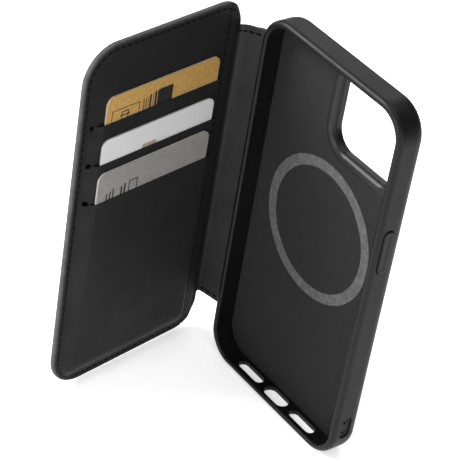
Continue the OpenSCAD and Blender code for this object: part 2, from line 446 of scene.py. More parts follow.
@dataclass(frozen=True)
class CardFoil:
    """Printed card face with a fine metallic or pearly fleck."""

    name: str
    colour: Colour
    metal: float = 0.35
    rough: float = 0.38
    fleck: float = 0.12
    coat: float = 0.15

    def make(self) -> Material:
        """Returns the finished material."""
        tree = Nodes.fresh(self.name)
        fine = tree.noise(tree.place(Vector((1, 1, 1))), 4200, 3)
        cloudy = tree.noise(tree.place(Vector((1, 1, 1))), 1100, 4)
        mixed = tree.both("MULTIPLY", tree.span(fine, 0.6, 1.0), tree.span(cloudy, 0.7, 1.0))
        base = tree.ramp(mixed, (0.36, 1.0), self.colour, (1 - self.fleck, 1 + self.fleck))
        rough = tree.span(fine, self.rough - 0.05, self.rough + 0.08)
        normal = tree.bump([(fine, 0.3, 0.00001)])
        fixed = {"Metallic": self.metal, "Coat_Weight": self.coat, "Coat_Roughness": 0.2}
        return tree.shader(base, rough, normal, **fixed)


@dataclass(frozen=True)
class Plate:
    """Bare metal with fine lapping marks, or plain pressed board when it isn't metal."""

    name: str
    colour: Colour
    metal: float = 1.0
    rough: float = 0.3

    def make(self) -> Material:
        """Returns the finished material."""
        tree = Nodes.fresh(self.name)
        marks = tree.noise(tree.place(Vector((1, 1, 0.1))), 2600, 4)
        base = tree.ramp(marks, NOISE, self.colour, (0.85, 1.0))
        rough = tree.span(marks, self.rough - 0.06, self.rough + 0.1)
        return tree.shader(base, rough, tree.bump([(marks, 0.4, 0.00002)]), Metallic=self.metal)


Finish = Leather | Moulding | Suede | Twist | CardFoil | Plate


def once(finish: Finish) -> Material:
    """Returns a dataclass field that holds a finish's material, made once."""
    return field(default_factory=finish.make)


@dataclass
class Finishes:
    """Every material of the case, made once."""

    leather: Material = once(Leather("outer leather"))
    inner: Material = once(
        Leather(
            "inner leather",
            colour=(0.0086, 0.0086, 0.0089),
            # Rim colour: scuffed leather with a painted highlight.
            worn_and_highlit=(0.075, 0.075, 0.075),
            grain=1700,
            depth=0.00004,
            rough=0.6,
            shine=0.12,
        )
    )
    rubber: Material = once(Moulding("satin rubber"))
    gloss: Material = once(
        Moulding(
            "glossy frame",
            colour=(0.012, 0.012, 0.0125),
            grain=2500,
            depth=0.000004,
            rough=0.34,
            shine=0.2,
            coat=0.06,
        )
    )
    lining: Material = once(Suede("suede lining"))
    band: Material = once(
        Suede("ring band", colour=(0.074, 0.074, 0.074), nap=1900, contrast=0.7, sheen=0.05, rough=0.8)
    )
    thread: Material = once(Twist("thread"))
    gold: Material = once(CardFoil("gold card", (0.60, 0.355, 0.107), metal=0.4, fleck=0.5))
    silver: Material = once(CardFoil("silver card", (0.60, 0.60, 0.60), metal=0.1, fleck=0.06))
    grey: Material = once(CardFoil("grey card", (0.28, 0.275, 0.262), metal=0.3, fleck=0.4))
    edge: Material = once(CardFoil("card edge", (0.44, 0.43, 0.41), metal=0.0, fleck=0.05))
    contact: Material = once(CardFoil("contact pads", (0.62, 0.54, 0.34), metal=0.7, rough=0.3))
    ink: Material = once(CardFoil("dark ink", (0.008, 0.0065, 0.005), metal=0.0, rough=0.5, fleck=0.3))
    umber: Material = once(CardFoil("umber ink", (0.20, 0.115, 0.035), metal=0.3, fleck=0.3))
    nickel: Material = once(Plate("nickel", (0.62, 0.60, 0.56)))
    steel: Material = once(Plate("steel", (0.45, 0.45, 0.46), rough=0.4))
    board: Material = once(Plate("grey board", (0.22, 0.21, 0.19), metal=0.0, rough=0.9))

    def dress_hidden(self) -> None:
        """Gives the plates, magnets and boards inside the leather their own finishes."""
        hidden = {"ring_magnets": self.nickel, "alignment_magnet": self.nickel, "ring_shunt": self.steel}
        hidden |= {"spine_stiffener": self.board, "cover_board": self.board}
        for node, material in hidden.items():
            for slot in frame["nodes"][node].material_slots:
                slot.material = material
            LOG.info("dressed %s", node)


# --------------------------------------------------------------------------- making tools


@dataclass
class Work:
    """A piece on the bench, in mm, on its way from a bmesh to a finished object."""

    name: str
    bm: BMesh = field(default_factory=bmesh.new)
    # Gives each point's share of rim scuffing and painted rim highlight, when the piece has one.
    wear_and_highlight: Optional[Callable[[Vector], float]] = None

    def tidy(self) -> None:
        """Merges doubles and points every face outwards."""
        bmesh.ops.remove_doubles(self.bm, verts=self.bm.verts, dist=MERGE)
        bmesh.ops.recalc_face_normals(self.bm, faces=self.bm.faces)

    def turned(self, facing: Facing) -> "Work":
        """Turns the whole piece to the side that it faces, and returns it."""
        bmesh.ops.transform(self.bm, matrix=facing.matrix(), verts=self.bm.verts)
        return self

    def take(self, other: "Work") -> "Work":
        """Adds another piece's mesh to this one, and returns this one."""
        other.tidy()
        mesh = bpy.data.meshes.new("part")
        other.bm.to_mesh(mesh)
        self.bm.from_mesh(mesh)
        other.bm.free()
        bpy.data.meshes.remove(mesh)
        return self

    def carve(self, cutter: "Work") -> None:
        """Cuts closed shapes out of the piece."""
        self.tidy()
        cutter.tidy()
        body, tool = (self.bench_object(w) for w in (self, cutter))
        cut = body.modifiers.new("cut", "BOOLEAN")
        cut.object, cut.operation, cut.solver = tool, "DIFFERENCE", "EXACT"
        bpy.context.view_layer.update()
        final = body.evaluated_get(bpy.context.evaluated_depsgraph_get())
        shape = bpy.data.meshes.new_from_object(final)
        self.bm.clear()
        self.bm.from_mesh(shape)
        bmesh.ops.remove_doubles(self.bm, verts=self.bm.verts, dist=MERGE)
        cutter.bm.free()
        for made in (body, tool):
            bpy.data.objects.remove(made)

    @staticmethod
    def bench_object(work: "Work") -> Object:
        """Returns a temporary object with a piece's mesh."""
        mesh = bpy.data.meshes.new(work.name)
        work.bm.to_mesh(mesh)
        made = bpy.data.objects.new(work.name, mesh)
        bpy.context.scene.collection.objects.link(made)
        return made

    def finish(
        self, material: Material | list[Material], crease: float = 35, weighted: bool = True
    ) -> Object:
        """Makes the finished object, in metres.

        Args:
            material: its material, or materials in the order of the faces' indices.
            crease: angle in degrees past which an edge is sharp.
            weighted: whether large faces set the shading of their corners.

        Returns:
            The object, at the origin, with its place in its mesh.
        """
        bmesh.ops.scale(self.bm, vec=(MM, MM, MM), verts=self.bm.verts)
        mesh = bpy.data.meshes.new(self.name)
        # Stores that share as a point attribute that the leather reads for its paler, partly highlit rims.
        if self.wear_and_highlight is not None:
            layer = self.bm.verts.layers.float.new("wear_and_highlight")
            for vert in self.bm.verts:
                vert[layer] = self.wear_and_highlight(vert.co / MM)
        self.bm.to_mesh(mesh)
        self.bm.free()
        for each in material if isinstance(material, list) else [material]:
            mesh.materials.append(each)
        mesh.shade_smooth()
        mesh.set_sharp_from_angle(angle=math.radians(crease))
        made = bpy.data.objects.new(self.name, mesh)
        bpy.context.scene.collection.objects.link(made)
        if weighted:
            even = made.modifiers.new("even shading", "WEIGHTED_NORMAL")
            even.keep_sharp = True
        LOG.info("made %s: %d faces", self.name, len(mesh.polygons))
        return made


def round_off(bm: BMesh, verts: list[BMVert], radius: float, segments: int) -> None:
    """Rounds the corners of a flat outline."""
    bmesh.ops.bevel(
        bm,
        geom=verts,
        offset=radius,
        offset_type="OFFSET",
        segments=segments,
        profile=0.5,
        affect="VERTICES",
        material=-1,
    )


def fill(bm: BMesh, edges: list[BMEdge]) -> None:
    """Closes a flat region between loops of edges, with holes where loops lie inside others."""
    bmesh.ops.triangle_fill(bm, use_beauty=True, use_dissolve=False, edges=edges)


def held(spot: Vector, box: Box) -> Vector:
    """Returns a point moved into a box, as x and y."""
    return Vector((min(max(spot.x, box[0]), box[2]), min(max(spot.y, box[1]), box[3])))


@dataclass
class Outline:
    """A rounded rectangle that rings are swept from, in mm."""

    box: Box
    radius: float
    segments: int = 12
    limit: Optional[Box] = None

    @classmethod
    def centred(cls, x: float, y: float, width: float, height: float, *rest, **more) -> "Outline":
        """Returns an outline round a centre."""
        return cls((x - width / 2, y - height / 2, x + width / 2, y + height / 2), *rest, **more)

    def start(self, bm: BMesh) -> list[BMEdge]:
        """Draws the outline's own loop of edges.

        Args:
            bm: the mesh to draw in.

        Returns:
            The loop's edges.
        """
        left, low, right, high = self.box
        verts = bmesh.ops.create_grid(bm, x_segments=1, y_segments=1, size=0.5)["verts"]
        bmesh.ops.scale(bm, vec=(right - left, high - low, 1), verts=verts)
        bmesh.ops.translate(bm, vec=((left + right) / 2, (low + high) / 2, 0), verts=verts)
        round_off(bm, verts, self.radius, self.segments)
        face = next(f for f in bm.faces if len(f.verts) > 4 and all(e.is_boundary for e in f.edges))
        edges = list(face.edges)
        bmesh.ops.delete(bm, geom=[face], context="FACES_ONLY")
        return edges

    def shift(self, verts: Iterable[BMVert], inset: float, depth: float) -> None:
        """Moves a ring to an inset from the outline, and to a depth."""
        left, low, right, high = self.box
        radius = self.radius
        core_box = (left + radius, low + radius, right - radius, high - radius)
        for vert in verts:
            core = held(vert.co, core_box)
            spot = core + (vert.co.to_2d() - core).normalized() * (radius - inset)
            if self.limit:
                spot = held(spot, self.limit)
            vert.co = (*spot, depth)

    def sweep(self, bm: BMesh, rings: list[Ring]) -> tuple[list[BMEdge], list[BMEdge]]:
        """Sweeps a wall through rings.

        Args:
            bm: the mesh to draw in.
            rings: inset and depth of each ring, in order.

        Returns:
            The edges of the first ring and of the last.
        """
        first = edges = self.start(bm)
        self.shift({v for e in edges for v in e.verts}, *rings[0])
        for ring in rings[1:]:
            grown = bmesh.ops.extrude_edge_only(bm, edges=edges)["geom"]
            verts = {g for g in grown if isinstance(g, BMVert)}
            edges = [g for g in grown if isinstance(g, BMEdge) and verts.issuperset(g.verts)]
            self.shift(verts, *ring)
        return first, edges

    def solid(self, name: str, rings: list[Ring]) -> Work:
        """Returns a closed solid swept through rings and capped at both ends."""
        work = Work(name)
        for loop in self.sweep(work.bm, rings):
            bmesh.ops.contextual_create(work.bm, geom=loop)
        work.tidy()
        return work

    def tube(self, name: str, rings: list[Ring]) -> Work:
        """Returns a closed tube whose last ring joins its first."""
        work = Work(name)
        first, last = self.sweep(work.bm, rings)
        bmesh.ops.bridge_loops(work.bm, edges=first + last)
        work.tidy()
        return work


def quarter(radius: float, steps: int = 4) -> list[Ring]:
    """Returns inset and rise of each step of a quarter round, from the wall to the face."""
    turns = [math.pi / 2 * i / steps for i in range(steps + 1)]
    return [(radius * (1 - math.cos(a)), radius * math.sin(a)) for a in turns]


@dataclass
class Slab:
    """A sheet cut to a free outline, with rounded rims, lying flat as run, height and layer."""

    corners: list[tuple[float, float, float]]
    low: float
    high: float
    rounding: float
    band: float = 0.15

    def face(self, bm: BMesh) -> BMFace:
        """Draws the outline: corners in order, with a radius each."""
        verts = [bm.verts.new((run, height, 0)) for run, height, _ in self.corners]
        bm.faces.new(verts)
        for vert, (_, _, radius) in zip(verts, self.corners):
            if radius:
                round_off(bm, [vert], radius, max(5, round(radius)))
        return max(bm.faces, key=lambda f: f.calc_area())

    def build(self, bm: BMesh) -> tuple[BMFace, BMFace]:
        """Draws the closed sheet.

        Args:
            bm: the mesh to draw in.

        Returns:
            The flat face at the high side and the one at the low side.
        """
        under = self.face(bm)
        grown = bmesh.ops.extrude_face_region(bm, geom=[under])["geom"]
        upper = next(g for g in grown if isinstance(g, BMFace))
        bmesh.ops.translate(bm, vec=(0, 0, self.high - self.rounding), verts=upper.verts)
        bmesh.ops.translate(bm, vec=(0, 0, self.low + self.rounding), verts=under.verts)
        bmesh.ops.recalc_face_normals(bm, faces=bm.faces)
        for side in (upper, under):
            rings = quarter(self.rounding, 3)
            for before, after in zip(rings, rings[1:]):
                self.inset(bm, side, after[0] - before[0], after[1] - before[1])
            self.inset(bm, side, self.band)
        return upper, under

    @staticmethod
    def inset(bm: BMesh, face: BMFace, width: float, rise: float = 0) -> None:
        """Insets a face, and raises it along its normal."""
        even = {"use_even_offset": True, "use_boundary": True}
        bmesh.ops.inset_region(bm, faces=[face], thickness=width, depth=rise, **even)


def cut_across(bm: BMesh, run: float, **clear: bool) -> None:
    """Cuts the mesh across at a run."""
    geom = [*bm.verts, *bm.edges, *bm.faces]
    plane = {"plane_co": (run, 0, 0), "plane_no": (1, 0, 0)}
    bmesh.ops.bisect_plane(bm, geom=geom, dist=1e-5, **plane, **clear)


def slice_up(bm: BMesh, runs: Iterable[float]) -> None:
    """Cuts the mesh across at each run."""
    for run in runs:
        cut_across(bm, run)


def cut_off(bm: BMesh, run: float, keep_far: bool) -> None:
    """Cuts the mesh off at a run, and caps the cut.

    Args:
        bm: the mesh to cut.
        run: where the cut is.
        keep_far: whether the part past the cut stays, or the part before it.
    """
    cut_across(bm, run, clear_inner=keep_far, clear_outer=not keep_far)
    rim = [e for e in bm.edges if e.is_boundary]
    bmesh.ops.contextual_create(bm, geom=rim)


def steps(first: float, last: float, pitch: float) -> list[float]:
    """Returns even steps from first to last, no wider than pitch."""
    count = math.ceil((last - first) / pitch)
    return [first + (last - first) * i / count for i in range(count + 1)]


def smooth(value: float) -> float:
    """Returns a soft step from 0 to 1 as the value goes from 0 to 1."""
    held = min(max(value, 0.0), 1.0)
    return held * held * (3 - 2 * held)


@dataclass
class FoldPath:
    """The line that the folded leather follows, seen from above, in mm.

    Run counts along the middle of the outer leather from the first fold towards the free edge,
    and layer counts from there towards the inside of the folio.
    """

    first: Vector
    second: Vector
    cover_angle: float = math.radians(279)
    first_reach: float = 3.0
    second_reach: float = 4.5

    @classmethod
    def from_joints(cls) -> "FoldPath":
        """Returns the path through the two hinges of the frame."""
        hinges = (joint for joint in frame["joints"] if joint["type"] == "hinge")
        spots = {joint["name"]: Vector(joint["pos_m"]) / MM for joint in hinges}
        return cls(spots["spine_fold"].to_2d(), spots["cover_fold"].to_2d())

    @property
    def spine(self) -> float:
        """Length of the spine between the folds."""
        return (self.second - self.first).length

    @property
    def spine_angle(self) -> float:
        """Direction of the spine, from +X towards +Y."""
        along = self.second - self.first
        return math.atan2(along.y, along.x) % math.tau

    @staticmethod
    def heading(angle: float) -> Vector:
        """Returns the unit direction at an angle."""
        return Vector((math.cos(angle), math.sin(angle)))

    @staticmethod
    def inward(angle: float) -> Vector:
        """Returns the direction of the layers where the path heads at an angle."""
        return Vector((-math.sin(angle), math.cos(angle)))

    def bend(self, corner: Vector, turns: Ring, reach: float, run: float) -> tuple[Vector, float]:
        """Follows one fold.

        Args:
            corner: where the two straight stretches would meet.
            turns: directions before the fold and after it.
            reach: how far from the corner the fold starts and ends.
            run: distance past the corner.

        Returns:
            The point, and the direction there.
        """
        before, after = turns
        share = (run + reach) / (2 * reach)
        if share <= 0:
            return corner + self.heading(before) * run, before
        if share >= 1:
            return corner + self.heading(after) * run, after
        turn = after - before
        radius = reach / math.tan(turn / 2)
        centre = corner - self.heading(before) * reach + self.inward(before) * radius
        angle = before + turn * share
        return centre - self.inward(angle) * radius, angle

    def spot(self, run: float, height: float, layer: float) -> Vector:
        """Returns the point in the part's frame of a run, height and layer."""
        if run < self.spine / 2:
            point, angle = self.bend(self.first, (math.pi, self.spine_angle), self.first_reach, run)
        else:
            turns = (self.spine_angle, self.cover_angle)
            point, angle = self.bend(self.second, turns, self.second_reach, run - self.spine)
        point = point + self.inward(angle) * layer
        return Vector((point.x, point.y, height))

    def fold(self, bm: BMesh) -> None:
        """Moves every vertex from run, height and layer to the part's frame."""
        for vert in bm.verts:
            vert.co = self.spot(*vert.co)
        bmesh.ops.recalc_face_normals(bm, faces=bm.faces)

    def ends(self, fold: int, before: float, after: float) -> dict[str, Vector]:
        """Returns start and end, in metres, of the stretch where a piece bends at a fold."""
        at = (0.0, self.spine)[fold]
        return {"start": self.spot(at - before, 0, 0) * MM, "end": self.spot(at + after, 0, 0) * MM}


# --------------------------------------------------------------------------- tray


# Inset and depth of each ring of a profile, in mm. A depth counts from the wall or face named.
REAR_ROUND: list[Ring] = [(1.45, -1.6), (1.25, -1.9), (1.02, -1.98), (0.78, -1.8), (0.42, -1.2)]
REAR_ROUND += [(0.16, -0.4), (0.04, 0.4), (0.0, 1.0), (0.0, 1.4)]
# From the tray's front
LIP_TURN: list[Ring] = [(1.9, 0), (2.2, -0.08), (2.5, -0.28), (2.68, -0.55), (2.7, -0.8)]
LIP_TURN += [(2.55, -0.98), (2.0, -1.05), (1.9, -1.3)]
# From the outside of a wall
WINDOW: list[Ring] = [(0, -3), (0, -0.3), (-0.3, 0.05), (-0.3, 1)]
FLARE: list[Ring] = [(0, -3), (0, -0.4), (-0.12, -0.12), (-0.4, 0.02), (-0.4, 1)]
LANYARD: list[Ring] = [(0.25, -0.7), (0.05, -0.62), (0, -0.4), (-0.06, -0.08), (-0.25, 0.02)]
LANYARD += [(-0.25, 1)]
THROUGH: list[Ring] = [(0, -3), (0, 1)]
PAD: list[Ring] = [(0, -2.4), (0, -0.5), (0.05, -0.25), (0.2, -0.07), (0.45, 0), (0.7, 0)]
PAD += [(1.0, -0.05), (1.4, -0.1), (1.7, -0.11)]
# From the lining's face
COLLAR: list[Ring] = [(-1.6, -2.2), (-1.6, -3.5), (-1.45, -3.85), (-1.1, -4.0), (-0.6, -4.0)]
COLLAR += [(-0.2, -3.88), (0, -3.5), (0, -3.2), (0, -1.9)]
BEAD: list[Ring] = [(-0.04, -1.4), (-0.2, -0.95), (-0.5, -0.5), (-0.85, -0.12), (-1.25, 0.16)]
BEAD += [(-1.7, 0.35), (-2.2, 0.45), (-2.7, 0.46), (-3.15, 0.4), (-3.55, 0.28), (-3.9, 0.1)]
BEAD += [(-4.15, -0.12)]
LINING_EDGE: list[Ring] = [(0.12, -0.45), (0.12, -0.2), (0.2, -0.06), (0.36, 0.0), (0.6, 0.0)]
LINING_CUT: list[Ring] = [(0, -0.45), (0, -0.15), (-0.08, -0.04), (-0.25, 0.0), (-0.5, 0.0)]


def raised(profile: Iterable[Ring], base: float) -> list[Ring]:
    """Returns a profile with a base added to every depth."""
    return [(inset, base + depth) for inset, depth in profile]


@dataclass
class Tray:
    """The moulded tray, its lining, camera frame, ring band and side buttons, in mm."""

    finishes: Finishes
    roll: float = 1.8
    width: float = 76.0
    height: float = 151.6
    corner: float = 12.5
    wall: float = 1.9
    front: float = 8.4
    seat: float = 0.5
    camera: Ring = (14.6, 55.5)
    camera_size: Ring = (33.8, 32.6)
    camera_corner: float = 8.0
    bezel: float = 4.3
    lining_cut: float = 3.4
    band_radii: Ring = (24.0, 28.2)
    band_height: float = 3.5
    button_width: float = 4.2
    button_across: float = 3.9
    proud: float = 0.5
    lanyard: tuple[float, float, float] = (-3.2, -59.4, 4.6)

    @property
    def outline(self) -> Outline:
        """Outline of the tray's outer wall."""
        return Outline.centred(0, 0, self.width, self.height, self.corner, segments=18)

    @property
    def opening(self) -> Outline:
        """Outline of the camera opening."""
        half = (self.width / 2 - self.wall, self.height / 2 - self.wall)
        inside = (-half[0], -half[1], half[0], half[1])
        return Outline.centred(*self.camera, *self.camera_size, self.camera_corner, limit=inside)

    def buttons(self) -> dict[str, tuple[Facing, float, float]]:
        """Returns side, height and length of each button."""
        return {
            "power_button": (Facing.RIGHT, 20.6, 17.6),
            "volume_up_button": (Facing.LEFT, 28.4, 11.0),
            "volume_down_button": (Facing.LEFT, 15.4, 11.0),
            "action_button": (Facing.LEFT, 41.6, 8.0),
        }

    def slot_outline(self, facing: Facing, height: float, length: float, gap: float = 0) -> Outline:
        """Returns the outline of a button, or of its window with a gap all round."""
        across = self.button_across * (1 if facing is Facing.LEFT else -1)
        width = self.button_width + 2 * gap
        return Outline.centred(across, height, width, length + 2 * gap, width / 2 - 0.1, segments=8)

    def moulding(self) -> Object:
        """Makes the tray with its rolled lip, windows, port, speaker slots and lanyard seat.

        Returns:
            The finished tray.
        """
        wall, front = self.wall, self.front
        lip = [(inset, front - self.roll + rise) for inset, rise in quarter(self.roll, 6)]
        rings = [*REAR_ROUND, (0.0, front - self.roll - 0.5), *lip, *raised(LIP_TURN, front)]
        rings += [(wall, 0.8), (wall, 0.2), (wall, -self.seat)]
        work = self.outline.solid("tray_moulding", rings)
        cutter = self.opening.solid("camera cut", [(-self.bezel + 0.3, -4.0), (-self.bezel + 0.3, 1.0)])
        cutter.turned(Facing.FRONT)
        work.turned(Facing.FRONT)
        for facing, height, length in self.buttons().values():
            window = self.slot_outline(facing, height, length, 0.15)
            rings = raised(WINDOW, self.width / 2)
            cutter.take(window.solid("window", rings).turned(facing))
        for at, width, height in ((0, 12.0, 5.6), (-16, 13.5, 4.2), (16, 13.5, 4.2)):
            cutter.take(self.bottom_opening(at, width, height))
        work.carve(cutter)
        for shape in self.lanyard_seat():
            work.carve(shape)
        made = work.finish(self.finishes.rubber, crease=40)
        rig.ride(made, "shell")
        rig.replaces(made, "shell_tray")
        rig.slot(made, "tray_tpu")
        return made

    def bottom_opening(self, at: float, width: float, height: float) -> Work:
        """Returns the cutter of an opening in the bottom wall, with softened outer edges."""
        shape = Outline.centred(at, 3.5, width, height, height / 2 - 0.05, segments=8)
        return shape.solid("opening", raised(FLARE, self.height / 2)).turned(Facing.BOTTOM)

    def lanyard_seat(self) -> list[Work]:
        """Returns the cutters of the lanyard's shallow seat and of its two holes."""
        outer = self.width / 2
        across, middle, pitch = self.lanyard
        shape = Outline.centred(across, middle, 4.4, 9.8, 2.15, segments=8)
        rings = raised(LANYARD, outer)
        holes = Work("lanyard holes")
        for height in (middle - pitch / 2, middle + pitch / 2):
            hole = Outline.centred(across, height, 2.0, 2.0, 0.99, segments=6)
            holes.take(hole.solid("hole", raised(THROUGH, outer)))
        return [shape.solid("seat", rings).turned(Facing.RIGHT), holes.turned(Facing.RIGHT)]

    def camera_frame(self) -> Object:
        """Makes the camera frame: a rounded bead, a funnel down to the opening and a rear collar.

        Returns:
            The finished frame.
        """
        out = self.bezel
        rings = [*COLLAR, *BEAD, (-out, -0.5), (-out, -1.4)]
        work = self.opening.tube("camera_bezel", rings).turned(Facing.FRONT)
        made = work.finish(self.finishes.gloss, crease=50)
        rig.ride(made, "shell")
        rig.replaces(made, "camera_frame")
        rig.slot(made, "frame_gloss")
        return made

    def lining(self) -> Object:
        """Makes the suede lining, cut round the camera frame.

        Returns:
            The finished lining.
        """
        work = Work("suede_seat")
        inside = (self.width - 2 * self.wall, self.height - 2 * self.wall)
        inner = Outline.centred(0, 0, *inside, self.corner - self.wall, segments=14)
        rims = [inner.sweep(work.bm, LINING_EDGE)]
        gap = self.lining_cut
        far = self.opening
        far.limit = tuple(edge - 0.7 * math.copysign(1, edge) for edge in far.limit)
        rims.append(far.sweep(work.bm, [(inset - gap, depth) for inset, depth in LINING_CUT]))
        for loop in (rims[0][0] + rims[1][0], rims[0][1] + rims[1][1]):
            fill(work.bm, loop)
        work.tidy()
        made = work.turned(Facing.FRONT).finish(self.finishes.lining, crease=60)
        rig.ride(made, "shell")
        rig.replaces(made, "seat_lining")
        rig.slot(made, "suede_lining")
        return made

    def ring_band(self) -> Object:
        """Makes the paler ring laid on the lining over the magnets.

        Returns:
            The finished ring.
        """
        inner, outer = self.band_radii
        work = Work("ring_mark")
        section = [(inner, -0.1), (outer, -0.1), (outer, 0.0), (outer - 0.06, 0.05), (outer - 0.2, 0.08)]
        section += [(inner + 0.2, 0.08), (inner + 0.06, 0.05), (inner, 0.0)]
        verts = [work.bm.verts.new((radius, 0, rise)) for radius, rise in section]
        edges = [work.bm.edges.new(pair) for pair in zip(verts, verts[1:] + verts[:1])]
        turn = {"cent": (0, 0, 0), "axis": (0, 0, 1), "angle": math.tau, "steps": 96}
        bmesh.ops.spin(work.bm, geom=[*verts, *edges], use_merge=True, **turn)
        work.tidy()
        bmesh.ops.translate(work.bm, vec=(0, self.band_height, 0), verts=work.bm.verts)
        made = work.turned(Facing.FRONT).finish(self.finishes.band)
        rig.ride(made, "shell")
        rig.replaces(made, "ring_band")
        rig.slot(made, "ring_print")
        return made

    def button_pads(self) -> list[Object]:
        """Makes the pad of each side button, softly dished along its middle."""
        pads = []
        top = self.width / 2 + self.proud
        for node, (facing, height, length) in self.buttons().items():
            rings = raised(PAD, top)
            work = self.slot_outline(facing, height, length).solid(node.replace("button", "pad"), rings)
            made = work.turned(facing).finish(self.finishes.rubber)
            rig.ride(made, node)
            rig.replaces(made, node)
            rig.slot(made, "tray_tpu")
            pads.append(made)
        return pads

    def build(self) -> None:
        """Makes every piece of the tray."""
        self.moulding()
        self.camera_frame()
        self.lining()
        self.ring_band()
        self.button_pads()


# --------------------------------------------------------------------------- leather


@dataclass
class Folio:
    """The folded leather: rear panel, spine and cover, with its stitches, in mm along the run."""

    finishes: Finishes
    path: FoldPath
    half_leather: float = 0.4
    spine_layer: float = 1.2
    cover_layer: float = 1.9
    fold_layer: float = 1.0
    spine_half: float = 62.3
    slope: float = 0.147
    middle: float = 8.2
    near: float = 0.0
    far: float = 75.2
    low: float = -75.0
    high: float = 71.4
    near_round: float = 11.4
    free_round: float = 14.0
    notch: float = 1.0
    seam: float = 2.2
    crease_seam: float = 7.6
    pitch: float = 3.0
    slit_end: float = 69.9
    slits: tuple[float, float, float] = (40.2, 24.7, 9.2)
    hole: float = 0.95
    hole_floor: float = 1.45
    hole_rise: float = 0.2
    hole_margin: float = 0.02
    groove: float = 0.6
    groove_depth: float = 0.16
    stitch: tuple[float, float, float] = (1.2, 0.55, 0.22)
    slant: float = 5.0
    sunk: float = 0.17

    def half(self, run: float) -> float:
        """Returns half the spine's height at a run; it narrows a little towards the cover."""
        return self.spine_half - self.slope * run

    def cover_corners(self, start: float) -> list[tuple[float, float, float]]:
        """Returns the corners of spine and cover, from a run on the spine, with a radius each."""
        near, far = self.path.spine + self.near, self.path.spine + self.far
        half, notch = self.half(near), self.notch
        return [
            (start, -self.half(start), 0),
            (near, -half, notch),
            (near, self.low, self.near_round),
            (far, self.low, self.free_round),
            (far, self.high, self.free_round),
            (near, self.high, self.near_round),
            (near, half, notch),
            (start, self.half(start), 0),
        ]

    def layer(self, run: float) -> float:
        """Returns the inner face's layer at a run, which sinks at the fold."""
        past = run - self.path.spine
        if past < -3.4:
            return self.spine_layer
        if past < 0:
            return self.spine_layer + (self.fold_layer - self.spine_layer) * smooth((past + 3.4) / 2.4)
        return self.fold_layer + (self.cover_layer - self.fold_layer) * smooth((past - 0.6) / 3.4)

    def slit_holes(self) -> Work:
        """Returns the cutter of the small round holes that end the card slits."""
        work = Work("slit holes")
        for height in self.slits:
            at, wide = (self.path.spine + self.slit_end, height + self.hole_rise), 2 * self.hole
            hole = Outline.centred(*at, wide, wide, self.hole - 0.01, segments=6)
            work.take(hole.solid("hole", [(0, self.hole_floor), (0, 7)]))
        return work

    def shade_holes_black(self, bm: BMesh) -> None:
        """Paints shade inside the slits' end holes: their faces take the second material, the thread's black."""
        spots = [Vector((self.path.spine + self.slit_end, z + self.hole_rise)) for z in self.slits]
        for face in bm.faces:
            centre = face.calc_center_median()
            gap = min((centre.to_2d() - spot).length for spot in spots)
            if centre.z > self.half_leather and gap < self.hole + self.hole_margin:
                face.material_index = 1

    def cover(self) -> Object:
        """Makes the spine's far half and the cover, with a sewn channel round its inner face.

        Returns:
            The finished skin, which bends at the second fold.
        """
        work = Work("cover_skin")
        bm = work.bm
        slab = Slab(self.cover_corners(self.middle - 5), -self.half_leather, self.cover_layer, 0.75)
        upper, under = slab.build(bm)
        for face in (upper, under):
            taken = slab.rounding + slab.band
            slab.inset(bm, face, self.seam - self.groove - taken)
            slab.inset(bm, face, self.groove, -self.groove_depth)
            slab.inset(bm, face, self.groove, self.groove_depth)
            slab.inset(bm, face, 0.2)
        fold = self.path.spine
        slice_up(bm, steps(fold - 5.4, fold + 5.6, 0.4))
        cut_off(bm, self.middle, keep_far=True)
        for vert in bm.verts:
            if vert.co.z > 0:
                vert.co.z *= self.layer(vert.co.x) / self.cover_layer
        self.press_crease(bm)
        work.carve(self.slit_holes())
        # Painted shade: the insides of the slit holes take the thread's black.
        self.shade_holes_black(bm)
        for face in bm.faces:
            centre = face.calc_center_median()
            if centre.x < fold - 0.4 or centre.z < 0.3:
                face.material_index = 2
        self.path.fold(bm)
        # Paler rims on the cover skin: partly scuffing, partly a painted highlight.
        work.wear_and_highlight = self.rim_wear_and_highlight
        # The thread material is also the painted shade inside the slit holes.
        skins = [self.finishes.inner, self.finishes.thread, self.finishes.leather]
        made = work.finish(skins, crease=32, weighted=False)
        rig.blend(made, "spine", "cover", **self.path.ends(1, 3.6, 2.0))
        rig.replaces(made, "cover_leather", "cover_lining", "spine_lining", "spine_leather")
        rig.slot(made, "inner_leather")
        return made

    def press_crease(self, bm: BMesh) -> None:
        """Presses the channel of the upright seam beside the fold."""
        at = self.path.spine + self.crease_seam
        slice_up(bm, (at - 0.9, at - 0.5, at, at + 0.5, at + 0.9))
        for vert in bm.verts:
            if vert.co.z > 1.5 and abs(vert.co.x - at) < 0.1:
                vert.co.z -= self.groove_depth

    def rim_wear_and_highlight(self, spot: Vector) -> float:
        """Returns how much a point is paled by scuffing and a painted highlight: the free rim of the cover most, the
        spine's a little.
        """
        along = FoldPath.heading(self.path.cover_angle)
        past = (spot.to_2d() - self.path.second).dot(along)
        gap = min(self.far - past, self.high - spot.z, spot.z - self.low)
        for low in (True, False):
            level = self.low + self.free_round if low else self.high - self.free_round
            centre = Vector((self.far - self.free_round, level))
            away = Vector((past, spot.z)) - centre
            if away.x > 0 and (away.y < 0) == low:
                gap = self.free_round - away.length
        return 1 - smooth(gap / 1.1) if past > 4 else 0.35 * (1 - smooth(gap / 1.1))

